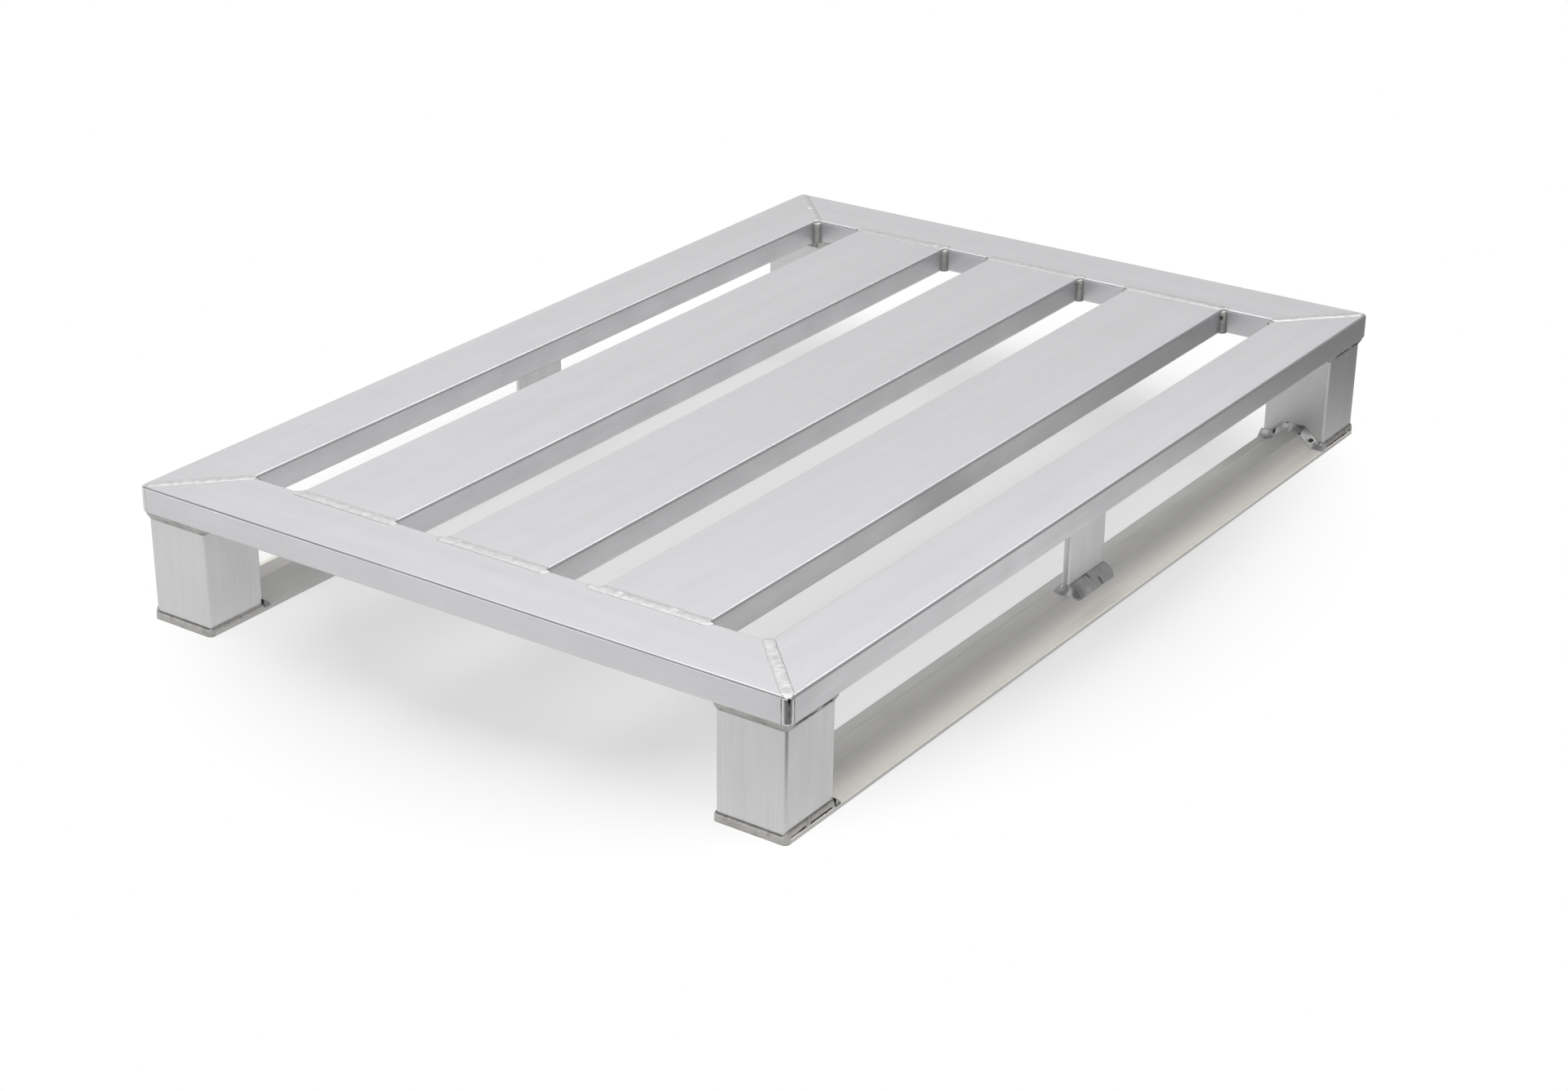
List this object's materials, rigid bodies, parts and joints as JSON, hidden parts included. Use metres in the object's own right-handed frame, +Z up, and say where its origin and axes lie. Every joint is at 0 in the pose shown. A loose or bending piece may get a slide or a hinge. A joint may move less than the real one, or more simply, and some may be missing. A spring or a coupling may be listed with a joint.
{
  "type": "aluminium pallet",
  "caption": "Welded aluminium pallet: mitred flat-tube deck frame with lengthwise slats, square tube corner legs and flat-bar middle legs on two ridged runners, open to forks on all sides.",
  "frame": {"origin": "centre of the footprint on the floor, under the middle of the deck", "axes": "+X lengthwise along the slats, +Y across to the left side, +Z up"},
  "size_m": [1.2, 0.8, 0.151],
  "materials": {
    "frame_tube_aluminium": "mill finish, fine lengthwise drawing lines",
    "slat_tube_aluminium": "mill finish, fine lengthwise drawing lines",
    "leg_aluminium": "mill finish, fine upright drawing lines",
    "runner_aluminium": "mill finish, extruded",
    "weld_bead_aluminium": "rippled weld bead, satin"
  },
  "bodies": {
    "root": {"side_tube_right": "frame_tube_aluminium", "side_tube_left": "frame_tube_aluminium", "end_tube_front": "frame_tube_aluminium", "end_tube_rear": "frame_tube_aluminium", "slat_1": "slat_tube_aluminium", "slat_2": "slat_tube_aluminium", "slat_3": "slat_tube_aluminium", "runner_right": "runner_aluminium", "runner_left": "runner_aluminium", "middle_leg_right": "leg_aluminium", "middle_leg_left": "leg_aluminium", "leg_front_right": "leg_aluminium", "leg_front_left": "leg_aluminium", "leg_rear_right": "leg_aluminium", "leg_rear_left": "leg_aluminium", "middle_leg_top_weld_right": "weld_bead_aluminium", "middle_leg_top_weld_left": "weld_bead_aluminium", "middle_leg_foot_weld_right": "weld_bead_aluminium", "middle_leg_foot_weld_left": "weld_bead_aluminium", "mitre_weld_front_right": "weld_bead_aluminium", "mitre_weld_front_left": "weld_bead_aluminium", "mitre_weld_rear_right": "weld_bead_aluminium", "mitre_weld_rear_left": "weld_bead_aluminium", "leg_top_weld_front_right": "weld_bead_aluminium", "leg_top_weld_front_left": "weld_bead_aluminium", "leg_top_weld_rear_right": "weld_bead_aluminium", "leg_top_weld_rear_left": "weld_bead_aluminium", "leg_foot_weld_front_right": "weld_bead_aluminium", "leg_foot_weld_front_left": "weld_bead_aluminium", "leg_foot_weld_rear_right": "weld_bead_aluminium", "leg_foot_weld_rear_left": "weld_bead_aluminium", "slat_1_front_weld": "weld_bead_aluminium", "slat_1_rear_weld": "weld_bead_aluminium", "slat_2_front_weld": "weld_bead_aluminium", "slat_2_rear_weld": "weld_bead_aluminium", "slat_3_front_weld": "weld_bead_aluminium", "slat_3_rear_weld": "weld_bead_aluminium"}
  },
  "joints": []
}
